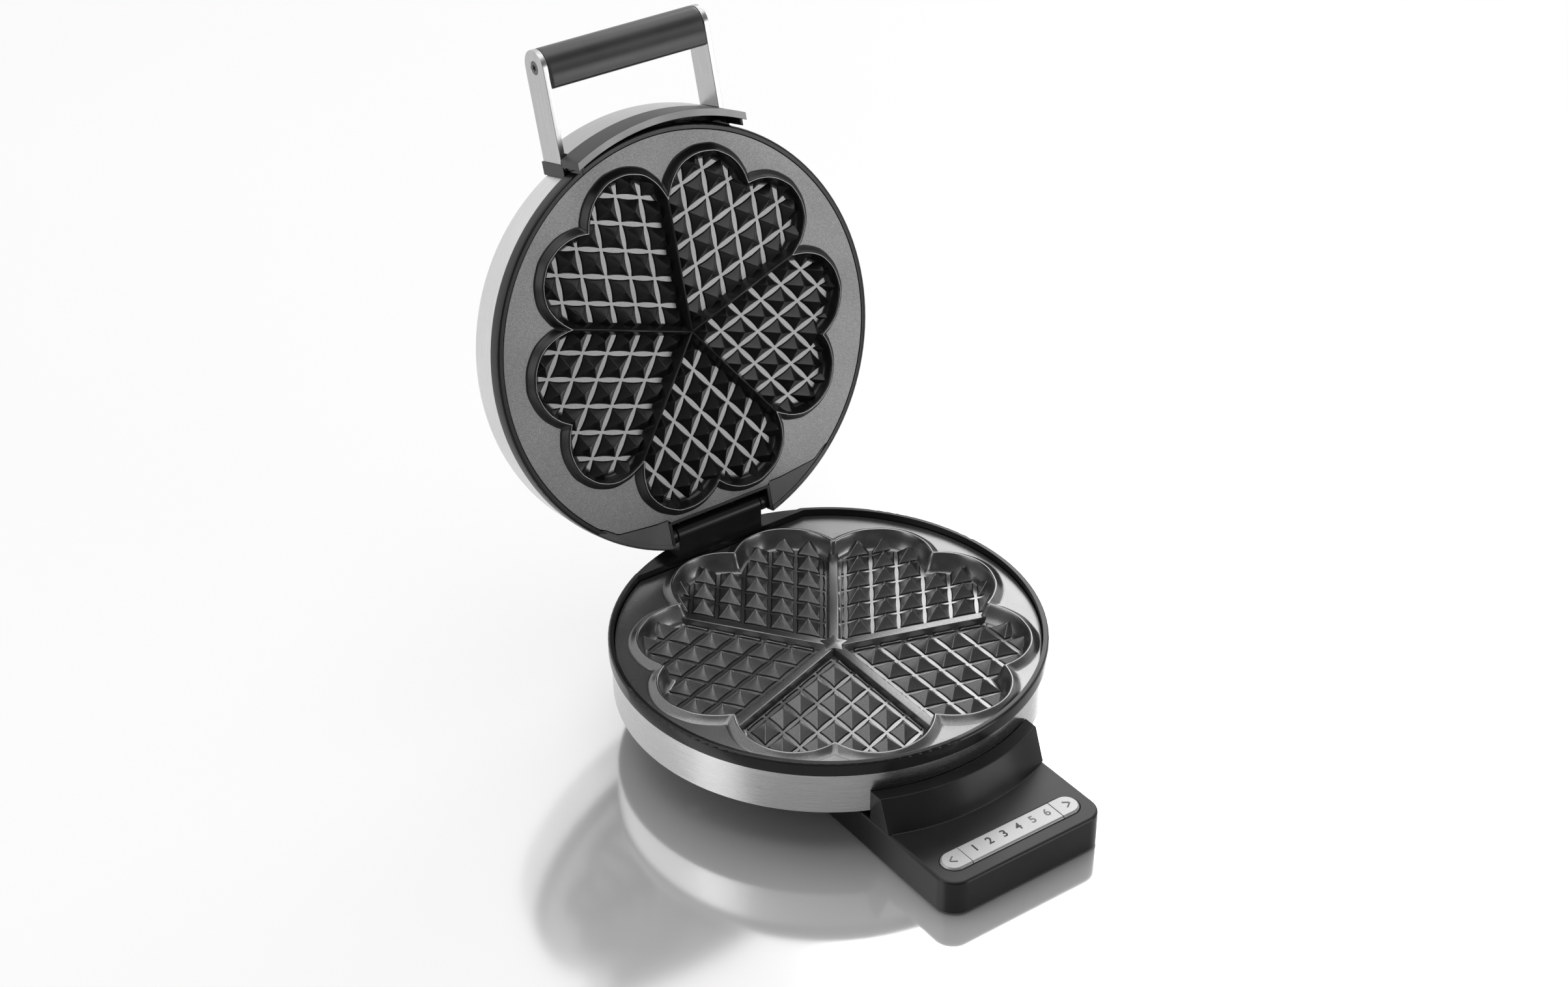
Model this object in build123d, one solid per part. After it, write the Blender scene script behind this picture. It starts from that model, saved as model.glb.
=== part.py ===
from build123d import *
import os
import math

os.makedirs("parts", exist_ok=True)

# ------------------------------------------------------------------ sizes (mm)
# Origin: on the table, under the axis of the round housing. +Z up, front = -Y.
H = 57.0            # rim plane of the lower plate above the table
PY = -5.1           # centre of the heart pattern, in front of the housing axis
R_RING = 115.0      # bezel outer radius
R_RING_IN = 112.0   # bezel inner radius
R_PLATE = 111.5     # plate outer radius
R_BAND = 113.5      # brushed band outer radius
T_BAND = 0.7        # band sheet
Z_BEZ0 = H - 6.5    # underside of base bezel
Z_BEZ1 = H + 0.8    # top of base bezel
Z_BAND0 = H - 30.3  # lower edge of base band
BOX_X = 49.4        # half width of pedestal and control box
BOX_Y0 = -166.6     # front of the control box
BOX_Y1 = 108.0      # rear of the pedestal
BOX_R = 11.0        # plan corner radius of the control box
Z_PANEL = H - 36.1  # top of the control panel
Z_BOX0 = 1.5        # underside of the box
WALL = 2.6          # moulded wall
Z_CRES = H - 18.0   # top of the crescent wall
R_CRES_T = 121.2    # crescent wall outer radius at its top
R_CRES_B = 127.5    # and where it meets the panel
CHORD_Y = 99.2      # straight rear edge of the bezel ring
PLATE_CHORD = 97.3  # straight rear edge of the lower plate

# heart plates
FLOOR_D = 10.9      # lower cavity floor below the rim plane
TIP_D = 4.45        # lower pyramid tips below the rim plane
RIB_D = 7.15        # lower rib tops below the rim plane
FLANGE_D = 3.0      # lower flange below the rim plane
PITCH = 14.72       # pyramid lattice along each side of a heart
STRIP = 1.4         # flat strip between pyramids
V0 = 22.95          # first pyramid tip of each heart, from the centre
UP_GAP = 0.6        # upper rim above the lower rim, lid closed
UP_FLANGE = 4.9     # upper flange above the lower rim plane
UP_FLOOR = 7.3      # upper cavity floor above the lower rim plane
UP_TIP = 1.9        # upper pyramid tips above the lower rim plane
UP_V0 = 10.2        # first upper pyramid tip

# lid
HINGE_Y = 104.5
HINGE_Z = H + 12.8
OPEN_DEG = 105.14   # lid angle from closed to its open stop
Z_LB0 = H + 4.9     # lid bezel front edge (lid closed)
Z_LB1 = H + 12.4    # lid bezel rear edge
Z_TOP = H + 36.0    # top of the lid cover
REC_X = 31.0        # half width of the hinge recess in the lid
REC_Y = 96.0        # front wall of the recess
REC_Z = H + 29.0    # top of the recess
BLK_X = 27.0        # half width of the hinge block
BLK_R = 5.3         # barrel radius of the hinge block
PIN_R = 2.0

# handle
ARM_XI, ARM_XO = 47.5, 50.5
ARM_ZC = H + 23.5
ARM_R = 9.35
ARM_YC = -158.3     # centre of the rounded arm end
GRIP_Y = -147.2     # inner face of the grip
R_SK0, R_SK1 = 119.3, 123.0   # crescent skirt
Z_SK0 = H - 5.6
Z_SK1 = H + 12.0

# key strip
STRIP_X = 42.3
KEY_SEAM = 28.7
STRIP_YC = -151.4
STRIP_R = 6.9
STRIP_PROUD = 1.2
KEY_TRAVEL = 0.8
ZB_BOARD = 8.0      # underside of both circuit boards


# ------------------------------------------------------------------ helpers
def box(x0, x1, y0, y1, z0, z1):
    return Pos((x0 + x1) / 2, (y0 + y1) / 2, (z0 + z1) / 2) * Box(x1 - x0, y1 - y0, z1 - z0)


def cyl(r, z0, z1, x=0.0, y=0.0):
    return Pos(x, y, (z0 + z1) / 2) * Cylinder(r, z1 - z0)


def tube(ro, ri, z0, z1, x=0.0, y=0.0):
    return cyl(ro, z0, z1, x, y) - cyl(ri, z0 - 1, z1 + 1, x, y)


def xcyl(r, x0, x1, y, z):
    return Pos((x0 + x1) / 2, y, z) * Rot(0, 90, 0) * Cylinder(r, x1 - x0)


def cone(r0, r1, z0, z1, x=0.0, y=0.0):
    return Pos(x, y, (z0 + z1) / 2) * Cone(r0, r1, z1 - z0)


def prism(pts, z0, z1):
    f = make_face(Polyline(*[(p[0], p[1], 0) for p in pts], close=True).edges())
    return Pos(0, 0, z0) * extrude(f, amount=z1 - z0, dir=(0, 0, 1))


def xprism(pts, x0, x1):
    # pts are (y, z)
    f = make_face(Polyline(*[(x0, p[0], p[1]) for p in pts], close=True).edges())
    return extrude(f, amount=x1 - x0, dir=(1, 0, 0))


def rbox(hx, y0, y1, z0, z1, r):
    f = Pos(0, (y0 + y1) / 2, z0) * RectangleRounded(2 * hx, y1 - y0, r)
    return extrude(f, amount=z1 - z0, dir=(0, 0, 1))


def pill(hx, r, z0, z1, yc=STRIP_YC):
    return box(-hx + r, hx - r, yc - r, yc + r, z0, z1) + cyl(r, z0, z1, -hx + r, yc) + cyl(r, z0, z1, hx - r, yc)


def polysolid(faces):
    fs = [Face(Wire.make_polygon([Vector(*p) for p in f], close=True)) for f in faces]
    return Solid(Shell(fs))


def solids_of(s):
    return s.solids() if hasattr(s, "solids") else [s]


def group(items):
    out = []
    for i in items:
        out += list(solids_of(i))
    return Compound(children=out) if len(out) > 1 else out[0]


def fuse(items):
    out = items[0]
    rest = items[1:]
    if rest:
        out = out.fuse(*rest)
    return out


def opened(s):
    # closed lid position -> open position, about the hinge axis
    return s.rotate(Axis((0, HINGE_Y, HINGE_Z), (1, 0, 0)), -OPEN_DEG)


NODES = {}


def put(name, shape, lid=False):
    if lid:
        shape = opened(shape)
    NODES[name] = shape
    export_step(shape, "parts/%s.step" % name)
    print(name, len(shape.solids()), round(shape.volume), flush=True)


# ------------------------------------------------------------------ heart outlines
S36, C36 = math.sin(math.radians(36)), math.cos(math.radians(36))
LOW = [(0.0, 91.5), (4.9, 95.2), (10.5, 98.0), (16.5, 99.3), (22.5, 99.5), (28.1, 98.3),
       (33.4, 96.0), (37.8, 92.8), (42.8, 88.0), (46.1, 82.6), (48.6, 76.0), (50.0, 68.9)]
UPP = [(0.0, 84.4), (4.6, 88.4), (10.6, 91.6), (16.0, 93.0), (20.7, 93.2), (25.6, 92.8),
       (29.5, 91.4), (36.6, 87.0), (42.6, 79.1), (44.4, 70.5), (43.8, 63.5), (42.8, 58.9)]


def half(pts, d):
    """Half of one heart's outer edge, pushed outward by d and trimmed to its sector."""
    c = (22.0, 72.0)
    out = []
    for u, v in pts:
        n = math.hypot(u - c[0], v - c[1])
        out.append((u + (u - c[0]) / n * d, v + (v - c[1]) / n * d))

    def cut_end(seq, f):
        # seq runs from the far end inward; f > 0 outside the sector
        seq = list(seq)
        if f(seq[0]) > 0:
            while len(seq) > 2 and f(seq[1]) > 0:
                seq.pop(0)
        a, b = seq[0], seq[1]
        t = f(a) / (f(a) - f(b))
        seq[0] = (a[0] + (b[0] - a[0]) * t, a[1] + (b[1] - a[1]) * t)
        return seq

    out = cut_end(out, lambda p: -p[0])
    out = cut_end(out[::-1], lambda p: p[0] * C36 - p[1] * S36)[::-1]
    return out


def place(p, deg):
    a = math.radians(deg)
    v = (math.cos(a), math.sin(a))
    u = (-math.sin(a), math.cos(a))
    return (u[0] * p[0] + v[0] * p[1], PY + u[1] * p[0] + v[1] * p[1], 0)


def rosette(pts, d, z0, z1):
    h = half(pts, d)
    edges = []
    for k in range(5):
        deg = -54 + 72 * k
        left = [place((-p[0], p[1]), deg) for p in h]     # cleft -> rib end, lower angle
        right = [place(p, deg) for p in h]                # cleft -> rib end, higher angle
        edges.append(Spline(*left[::-1]))
        edges.append(Spline(*right))
    f = make_face(edges)
    return Pos(0, 0, z0) * extrude(f, amount=z1 - z0, dir=(0, 0, 1))


def inside_heart(u, v, pts, margin):
    # rough test: inside the sector sides and the lobes
    d = v * S36 - abs(u) * C36
    if d < margin:
        return False
    c = (22.0, 71.0)
    au = abs(u)
    if v < c[1] - 8 and au < 40:
        return True
    return math.hypot(au - c[0], v - c[1]) < 27.5 + 3


def pyramids(pts, zb, zt, v0, side_margin, up=True):
    out = []
    w = PITCH * C36
    hh = PITCH * S36
    k = 1.0 - STRIP / (PITCH * math.sin(math.radians(72)))
    for n in range(-5, 6):
        for m in range(0, 9):
            if (n + m) % 2:
                continue
            u, v = n * hh, v0 + m * w
            d = v * S36 - abs(u) * C36
            if d < side_margin or not inside_heart(u, v, pts, side_margin):
                continue
            a = (hh * k, 0.0)
            b = (0.0, w * k)
            base = [(u - a[0], v), (u, v - b[1]), (u + a[0], v), (u, v + b[1])]
            out.append(((u, v), base))
    res = []
    for deg in [-54 + 72 * k2 for k2 in range(5)]:
        for (u, v), base in out:
            B = [place(p, deg)[:2] + (zb,) for p in base]
            T = place((u, v), deg)[:2] + (zt,)
            fs = [B] + [[B[i], B[(i + 1) % 4], T] for i in range(4)]
            res.append(polysolid(fs))
    return res


def ribs(zb, zt, wb, wt, length):
    res = []
    for k in range(5):
        deg = -18 + 72 * k
        a = math.radians(deg)
        c, s = math.cos(a), math.sin(a)

        def q(r, t, z):
            return (r * c - t * s, PY + r * s + t * c, z)
        L = length
        fs = [[q(0, -wb, zb), q(0, wb, zb), q(L, wb, zb), q(L, -wb, zb)],
              [q(0, -wt, zt), q(0, wt, zt), q(L, wt, zt), q(L, -wt, zt)],
              [q(0, -wb, zb), q(L, -wb, zb), q(L, -wt, zt), q(0, -wt, zt)],
              [q(0, wb, zb), q(L, wb, zb), q(L, wt, zt), q(0, wt, zt)],
              [q(0, -wb, zb), q(0, wb, zb), q(0, wt, zt), q(0, -wt, zt)],
              [q(L, -wb, zb), q(L, wb, zb), q(L, wt, zt), q(L, -wt, zt)]]
        res.append(polysolid(fs))
    return res


# ------------------------------------------------------------------ lower plate
def lower_plate():
    floor = H - FLOOR_D
    back = floor - 2.6
    blank = cyl(R_PLATE, H - FLANGE_D - 2.4, H - FLANGE_D)
    blank -= box(-130, 130, PLATE_CHORD, 130, 0, 100)
    blank += rosette(LOW, 2.4, back, H)
    # heater bed and screw bosses under the pan
    blank += tube(66, 54, back - 3.0, back + 0.5, 0, PY)
    for a in (30, 102, 174, 246, 318):
        x, y = 84 * math.cos(math.radians(a)), PY + 84 * math.sin(math.radians(a))
        blank += cyl(5.0, back - 6.0, back + 0.5, x, y)
    cutter = rosette(LOW, 0.0, floor, H + 5)
    tools = pyramids(LOW, floor, H - TIP_D, V0, 10.0) + ribs(floor, H - RIB_D, 4.0, 2.4, 100)
    star = cone(9.0, 4.2, floor, H - RIB_D + 0.3, 0, PY)
    cutter = cutter - star
    for i in range(0, len(tools), 24):
        cutter = cutter.cut(*tools[i:i + 24])
    p = blank - cutter
    # channel for the tubular heater and blind holes for the plate screws
    p -= Pos(0, PY, back - 3.0) * Torus(60, 3.45)
    for a in (30, 102, 174, 246, 318):
        x, y = 84 * math.cos(math.radians(a)), PY + 84 * math.sin(math.radians(a))
        p -= cyl(1.55, back - 7.0, back - 0.4, x, y)
    return p


def upper_plate():
    floor = H + UP_FLOOR
    back = floor + 2.6
    blank = cyl(R_PLATE, H + UP_FLANGE, H + UP_FLANGE + 2.4)
    edge = [(-130, 130), (-130, 84), (-72, 84), (-64, 89.6), (-40, 92.2), (-33, 92.2), (-33, 94.2),
            (33, 94.2), (33, 92.2), (40, 92.2), (64, 89.6), (72, 84), (130, 84), (130, 130)]
    blank -= prism(edge, 0, 200)
    blank += rosette(UPP, 2.2, H + UP_GAP, back)
    blank += tube(66, 54, back - 0.5, back + 3.0, 0, PY)
    for a in (30, 102, 174, 246, 318):
        x, y = 80 * math.cos(math.radians(a)), PY + 80 * math.sin(math.radians(a))
        blank += cyl(5.0, back - 0.5, back + 6.0, x, y)
    cutter = rosette(UPP, 0.0, H - 5, floor)
    tools = pyramids(UPP, floor, H + UP_TIP, UP_V0, 5.5) + ribs(floor, H + UP_GAP, 3.2, 0.4, 100)
    for i in range(0, len(tools), 24):
        cutter = cutter.cut(*tools[i:i + 24])
    p = blank - cutter
    p -= Pos(0, PY, back + 3.0) * Torus(60, 3.45)
    for a in (30, 102, 174, 246, 318):
        x, y = 80 * math.cos(math.radians(a)), PY + 80 * math.sin(math.radians(a))
        p -= cyl(1.55, back + 0.4, back + 7.0, x, y)
    return p


def heater(zc, up):
    # open ring with two cold ends that turn away from the plate
    r, R = 3.25, 60.0
    ring = Pos(0, PY, zc) * Torus(R, r)
    gap = prism([(0, PY), (140 * math.cos(math.radians(-98)), PY + 140 * math.sin(math.radians(-98))),
                 (140 * math.cos(math.radians(-82)), PY + 140 * math.sin(math.radians(-82)))], zc - 10, zc + 10)
    ring = ring - gap
    s = 1 if up else -1
    for deg in (-98, -82):
        x, y = R * math.cos(math.radians(deg)), PY + R * math.sin(math.radians(deg))
        ring += Pos(x, y, zc) * Sphere(r)
        ring += cyl(r, min(zc, zc + s * 9.0), max(zc, zc + s * 9.0), x, y)
        ring += cyl(1.2, min(zc, zc + s * 14.0), max(zc, zc + s * 14.0), x, y)
    return ring


def screw(x, y, z, length, head_r, head_h, r, down=True):
    """Pan-head screw: head at z, shank towards +Z when driven from below."""
    s = 1 if down else -1
    a = cyl(head_r, min(z, z + s * head_h), max(z, z + s * head_h), x, y)
    b = cyl(r, min(z, z + s * (head_h + length)), max(z, z + s * (head_h + length)), x, y)
    body = a + b
    body -= box(x - head_r * 0.62, x + head_r * 0.62, y - 0.45, y + 0.45, min(z, z + s * 0.9), max(z, z + s * 0.9))
    body -= box(x - 0.45, x + 0.45, y - head_r * 0.62, y + head_r * 0.62, min(z, z + s * 0.9), max(z, z + s * 0.9))
    return body


# ================================================================== BASE
FLOOR_Z = Z_BAND0                       # underside of the round tub
FEET = [(-38, -150), (38, -150), (-38, 98), (38, 98)]
COVER_SCREWS = [(-40, -110), (40, -110), (-40, 60), (40, 60), (0, -20)]


def sector_wall():
    """Crescent wall in front of the band."""
    w = cone(R_CRES_B, R_CRES_T, Z_PANEL, Z_CRES) - cyl(R_BAND + 0.15, 0, 100)
    keep = box(-BOX_X, BOX_X, -140, -60, Z_PANEL - 1, Z_CRES + 1)
    w = w & keep
    # undercut so the moulding stays thin
    core = cone(R_CRES_B - 2.6, R_CRES_T - 2.6, Z_PANEL - 1, Z_CRES - 2.6) - cyl(R_BAND + 2.4, 0, 100)
    core = core & box(-BOX_X + 2.6, BOX_X - 2.6, -140, -60, Z_PANEL - 2, Z_CRES - 2.6)
    return w, core


PED_SCREWS = [(-42, 0), (42, 0), (-42, 74), (42, 74)]


def base_tub():
    """Round tub that carries the plate; it stands on the pedestal."""
    t = cyl(R_BAND - T_BAND - 0.1, FLOOR_Z, Z_BEZ0 - 0.2) - cyl(R_BAND - T_BAND - 2.2, FLOOR_Z + 2.4, 100)
    # wiring opening into the pedestal
    t -= rbox(18, -70, -45, FLOOR_Z - 3, FLOOR_Z + 4, 4)
    # bosses that carry the reflector
    for a in (30, 102, 174, 246, 318):
        x, y = 84 * math.cos(math.radians(a)), PY + 84 * math.sin(math.radians(a))
        t += tube(4.0, 1.7, FLOOR_Z + 2.0, FLOOR_Z + 8.0, x, y)
        t -= cyl(1.7, FLOOR_Z - 1, FLOOR_Z + 9, x, y)
        t -= cyl(3.3, FLOOR_Z - 6, FLOOR_Z + 1.25, x, y)
    # bosses for the pedestal screws
    for x, y in PED_SCREWS:
        t += cyl(3.2, FLOOR_Z + 2.0, FLOOR_Z + 7.0, x, y)
        t -= cyl(1.3, FLOOR_Z - 1, FLOOR_Z + 5.6, x, y)
    # holes for the hinge block screws
    for x in (-18, 18):
        t -= cyl(1.4, FLOOR_Z - 6, FLOOR_Z + 6, x, 101.6)
        t -= cyl(2.8, FLOOR_Z - 6, FLOOR_Z + 1.15, x, 101.6)
    return t


def base_pedestal():
    """Long box with the control panel at its front and a saddle for the tub."""
    top = FLOOR_Z - 0.02
    outer = rbox(BOX_X, BOX_Y0, BOX_Y1, Z_BOX0, Z_PANEL, BOX_R)
    edge = [e for e in outer.edges() if abs(e.center().Z - Z_PANEL) < 0.01]
    outer = fillet(edge, 1.6)
    ped = box(-BOX_X, BOX_X, -95, BOX_Y1 - 11, Z_PANEL - 2, top)
    ped += box(-BOX_X + 11, BOX_X - 11, 80, BOX_Y1, Z_PANEL - 2, top)
    ped = ped & cyl(R_BAND - T_BAND - 0.2, 0, 100)
    wall, core = sector_wall()
    body = outer + ped + wall
    # hollow inside, with a ceiling under the tub
    inner = rbox(BOX_X - WALL, BOX_Y0 + WALL, BOX_Y1 - WALL, Z_BOX0 - 1, Z_PANEL - WALL, BOX_R - WALL)
    pin = box(-BOX_X + WALL, BOX_X - WALL, -92, BOX_Y1 - 14, Z_PANEL - WALL - 1, FLOOR_Z - 2.0)
    pin = pin & cyl(R_BAND - T_BAND - 2.8, 0, 100)
    body = body - inner - pin - core
    body -= rbox(18, -70, -45, FLOOR_Z - 5, FLOOR_Z + 4, 4)
    # opening for the key strip
    body -= pill(STRIP_X + 0.35, STRIP_R + 0.35, Z_PANEL - 5, Z_PANEL + 2)
    # bosses for the cover screws
    for x, y in COVER_SCREWS:
        zt = Z_PANEL - WALL + 0.2 if y < -95 else FLOOR_Z - 1.0
        body += tube(3.6, 1.3, Z_BOX0 + 2.2, zt, x, y)
    # clearance round the heads of the plate and hinge block screws
    for a in (30, 102, 174, 246, 318):
        x, y = 84 * math.cos(math.radians(a)), PY + 84 * math.sin(math.radians(a))
        body -= cyl(3.5, FLOOR_Z - 6, FLOOR_Z + 0.1, x, y)
    for x in (-18, 18):
        body -= cyl(3.0, FLOOR_Z - 12, FLOOR_Z + 0.1, x, 101.6)
    for x, y in PED_SCREWS:
        body -= cyl(1.5, FLOOR_Z - 4, FLOOR_Z + 0.1, x, y)
    # cable outlet in the rear wall
    body -= Pos(30, BOX_Y1, 12.5) * Rot(90, 0, 0) * Cylinder(4.6, 12)
    return body


def bottom_cover():
    c = rbox(BOX_X - WALL - 0.25, BOX_Y0 + WALL + 0.25, BOX_Y1 - WALL - 0.25, Z_BOX0, Z_BOX0 + 2.0, BOX_R - WALL)
    for x, y in FEET:
        c -= cyl(6.15, Z_BOX0 - 1, Z_BOX0 + 1.0, x, y)
        c -= cyl(1.6, Z_BOX0 - 1, Z_BOX0 + 3.0, x, y)
    for x, y in COVER_SCREWS:
        c -= cyl(1.6, 0, 6, x, y)
        c -= cyl(2.9, 0, Z_BOX0 + 1.0, x, y)
    for i in range(7):
        yy = -60 + i * 6
        c -= box(-22, 22, yy, yy + 2.2, 0, 6) - box(-2, 2, yy - 1, yy + 4, 0, 6)
    # posts for the boards
    for x, y in [(-37, -157.5), (37, -157.5), (-37, -126), (37, -126), (-36, -66), (36, -66), (-36, 36), (36, 36)]:
        c += cyl(2.6, Z_BOX0 + 1.9, ZB_BOARD - 0.02, x, y) + cyl(1.3, ZB_BOARD - 0.1, ZB_BOARD + 1.5, x, y)
    return c


put("base_tub", base_tub())
put("base_pedestal", base_pedestal())
put("pedestal_screws", group([screw(x, y, FLOOR_Z - 3.02, 7.0, 2.6, 1.0, 1.25) for x, y in PED_SCREWS]))
put("bottom_cover", bottom_cover())
put("rubber_feet", group([cyl(6.0, 0, Z_BOX0 + 0.95, x, y) + cyl(1.55, 0, Z_BOX0 + 2.6, x, y) + cyl(2.2, Z_BOX0 + 2.05, Z_BOX0 + 2.9, x, y) for x, y in FEET]))
put("cover_screws", group([screw(x, y, Z_BOX0 + 0.1, 9.0, 2.75, 0.9, 1.25) for x, y in COVER_SCREWS]))

band = tube(R_BAND, R_BAND - T_BAND, Z_BAND0, Z_BEZ0)
put("base_band", band)


def base_bezel():
    b = cyl(R_RING, Z_BEZ0, Z_BEZ1)
    ed = [e for e in b.edges() if abs(e.center().Z - Z_BEZ1) < 0.01]
    b = fillet(ed, 1.4)
    hole = cyl(R_RING_IN, 0, 100) & box(-130, 130, -130, PLATE_CHORD + 0.4, 0, 100)
    b -= hole
    # lowered ledge behind the straight rear rail
    b -= box(-130, 130, CHORD_Y + 1.2, 130, H - 0.6, 100)
    # relief under the rear segment, leaves a skin
    seg = cyl(R_RING - 2.4, 0, Z_BEZ1 - 4.2) & box(-130, 130, PLATE_CHORD + 3.6, 130, 0, 100)
    b -= seg
    # seat for the hinge block
    b -= box(-BLK_X - 0.1, BLK_X + 0.1, CHORD_Y - 0.1, 109.9, H - 10, 100)
    return b


put("base_bezel", base_bezel())
put("lower_plate", lower_plate())


def hinge_block():
    zb = FLOOR_Z + 2.5
    pts_y0, pts_y1 = CHORD_Y, 109.8
    b = box(-BLK_X, BLK_X, pts_y0, pts_y1, zb, HINGE_Z)
    b += xcyl(BLK_R, -BLK_X, BLK_X, HINGE_Y, HINGE_Z)
    b = b & box(-BLK_X, BLK_X, pts_y0, pts_y1, zb, 200)
    b = b & (cyl(R_BAND - T_BAND - 2.4, 0, 200) + box(-60, 60, 90, 112, H - 3, 200))
    # weight-saving pocket open to the rear, and the pin bore
    b -= box(-BLK_X + 4, BLK_X - 4, 103.0, 120, zb + 6, H + 2)
    b -= xcyl(PIN_R, -50, 50, HINGE_Y, HINGE_Z)
    for x in (-18, 18):
        b -= cyl(1.25, zb - 1, zb + 6.0, x, 101.6)
    return b


put("hinge_block", hinge_block())
put("hinge_pin", xcyl(PIN_R, -33.6, 33.6, HINGE_Y, HINGE_Z))
put("lower_heater", heater(H - FLOOR_D - 2.6 - 3.0, False))


def reflector(zbase, up, rscrew):
    """Pressed dish; up=False opens upwards (base), up=True opens downwards (lid)."""
    s = -1 if up else 1
    z = zbase
    lo, hi = (z, z + 0.8) if not up else (z - 0.8, z)
    d = cyl(97.5, lo, hi)
    rimz = (z, z + 8.0) if not up else (z - 8.0, z)
    d += tube(97.5, 96.7, rimz[0], rimz[1])
    d -= box(-34.5, 34.5, 93.6, 120, 0, 200)
    for a in (30, 102, 174, 246, 318):
        x, y = rscrew * math.cos(math.radians(a)), PY + rscrew * math.sin(math.radians(a))
        d -= cyl(1.75, z - 5, z + 5, x, y)
    d -= cyl(5.5, z - 5, z + 5, 60 * math.cos(math.radians(-98)), PY + 60 * math.sin(math.radians(-98)))
    d -= cyl(5.5, z - 5, z + 5, 60 * math.cos(math.radians(-82)), PY + 60 * math.sin(math.radians(-82)))
    return d


Z_REFL = FLOOR_Z + 8.0
put("lower_reflector", reflector(Z_REFL, False, 84))


def ringpos(r, a):
    return r * math.cos(math.radians(a)), PY + r * math.sin(math.radians(a))


ANG = (30, 102, 174, 246, 318)
BACK = H - FLOOR_D - 2.6
# spacers between the reflector and the plate bosses
put("lower_spacers", group([tube(4.0, 1.75, Z_REFL + 0.8, BACK - 6.0, *ringpos(84, a)) for a in ANG]))
put("lower_plate_screws", group([screw(*ringpos(84, a), FLOOR_Z + 0.15, BACK - 1.0 - FLOOR_Z - 1.25, 3.1, 1.1, 1.5) for a in ANG]))
put("hinge_block_screws", group([screw(x, 101.6, FLOOR_Z + 0.15, 7.0, 2.6, 1.0, 1.25) for x in (-18, 18)]))

# sensing and safety parts clipped under the lower plate
put("temperature_sensor", box(-5, 5, 18, 26, Z_REFL + 0.8, Z_REFL + 4.0) + cyl(3.0, Z_REFL + 4.0, BACK - 0.02, 0, 22))
put("lower_thermal_fuse", Pos(24, -20, Z_REFL + 3.4) * Rot(0, 90, 0) * Cylinder(2.0, 14)
    + box(20, 28, -24, -16, Z_REFL + 0.8, Z_REFL + 2.0) + box(20, 28, -23.2, -22.2, Z_REFL + 0.8, Z_REFL + 5.0))

# ------------------------------------------------------------------ electronics
ZB = 8.0
put("control_board", box(-41, 41, -161, -122, ZB, ZB + 1.6) - group([cyl(1.4, 0, 20, x, y) for x in (-37, 37) for y in (-157.5, -126)]))
put("status_leds", group([box(x - 0.8, x + 0.8, STRIP_YC - 0.4, STRIP_YC + 0.4, ZB + 1.6, ZB + 2.3) for x in (-22.6, -13.5, -4.4, 4.7, 13.8, 22.9)]))
put("tact_switches", group([box(x - 3, x + 3, STRIP_YC - 3, STRIP_YC + 3, ZB + 1.6, ZB + 5.0) + cyl(1.7, ZB + 5.0, ZB + 5.6, x, STRIP_YC) for x in (-35.4, 35.4)]))
lg = box(-26, 26, STRIP_YC - 2.6, STRIP_YC + 2.6, ZB + 4.6, Z_PANEL - 4.2)
for x in (-22.6, -13.5, -4.4, 4.7, 13.8, 22.9):
    lg += box(x - 2.0, x + 2.0, STRIP_YC - 2.0, STRIP_YC + 2.0, ZB + 2.6, ZB + 4.7)
lg += box(-26, -24.6, STRIP_YC - 2.6, STRIP_YC + 2.6, ZB + 1.6, ZB + 4.7)
lg += box(24.6, 26, STRIP_YC - 2.6, STRIP_YC + 2.6, ZB + 1.6, ZB + 4.7)
put("light_guide", lg)
Z_KEY = Z_PANEL + STRIP_PROUD
strip = box(-KEY_SEAM + 0.15, KEY_SEAM - 0.15, STRIP_YC - STRIP_R, STRIP_YC + STRIP_R, Z_PANEL - 3.2, Z_KEY)
strip = chamfer([e for e in strip.edges() if abs(e.center().Z - Z_KEY) < 0.01 and abs(e.center().X) < 1], 0.9)
strip += box(-KEY_SEAM + 0.15, KEY_SEAM - 0.15, STRIP_YC - STRIP_R - 1.3, STRIP_YC + STRIP_R + 1.3, Z_PANEL - 4.2, Z_PANEL - 2.8)
put("number_strip", strip)


def key(s):
    cap = pill(STRIP_X, STRIP_R, Z_PANEL - 3.6, Z_KEY)
    top = [e for e in cap.edges() if abs(e.center().Z - Z_KEY) < 0.01]
    cap = chamfer(top, 0.9)
    cap = cap & box(KEY_SEAM + 0.15, 60, -170, -130, 0, 60)
    fl = pill(STRIP_X + 1.3, STRIP_R + 1.3, Z_PANEL - 4.4, Z_PANEL - 2.85) & box(KEY_SEAM + 0.15, 60, -170, -130, 0, 60)
    k = cap + fl + cyl(2.0, ZB + 6.6, Z_PANEL - 4.0, 35.4, STRIP_YC)
    # raised chevron on the cap
    a = 1.9
    for sy in (-1, 1):
        k += Pos(36.3, STRIP_YC + sy * a * 0.62, Z_KEY + 0.02) * Rot(0, 0, -sy * 34) * Box(2 * a, 0.7, 0.5)
    if s < 0:
        k = k.mirror(Plane.YZ)
    return k


put("button_right", key(1))
put("button_left", key(-1))

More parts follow.
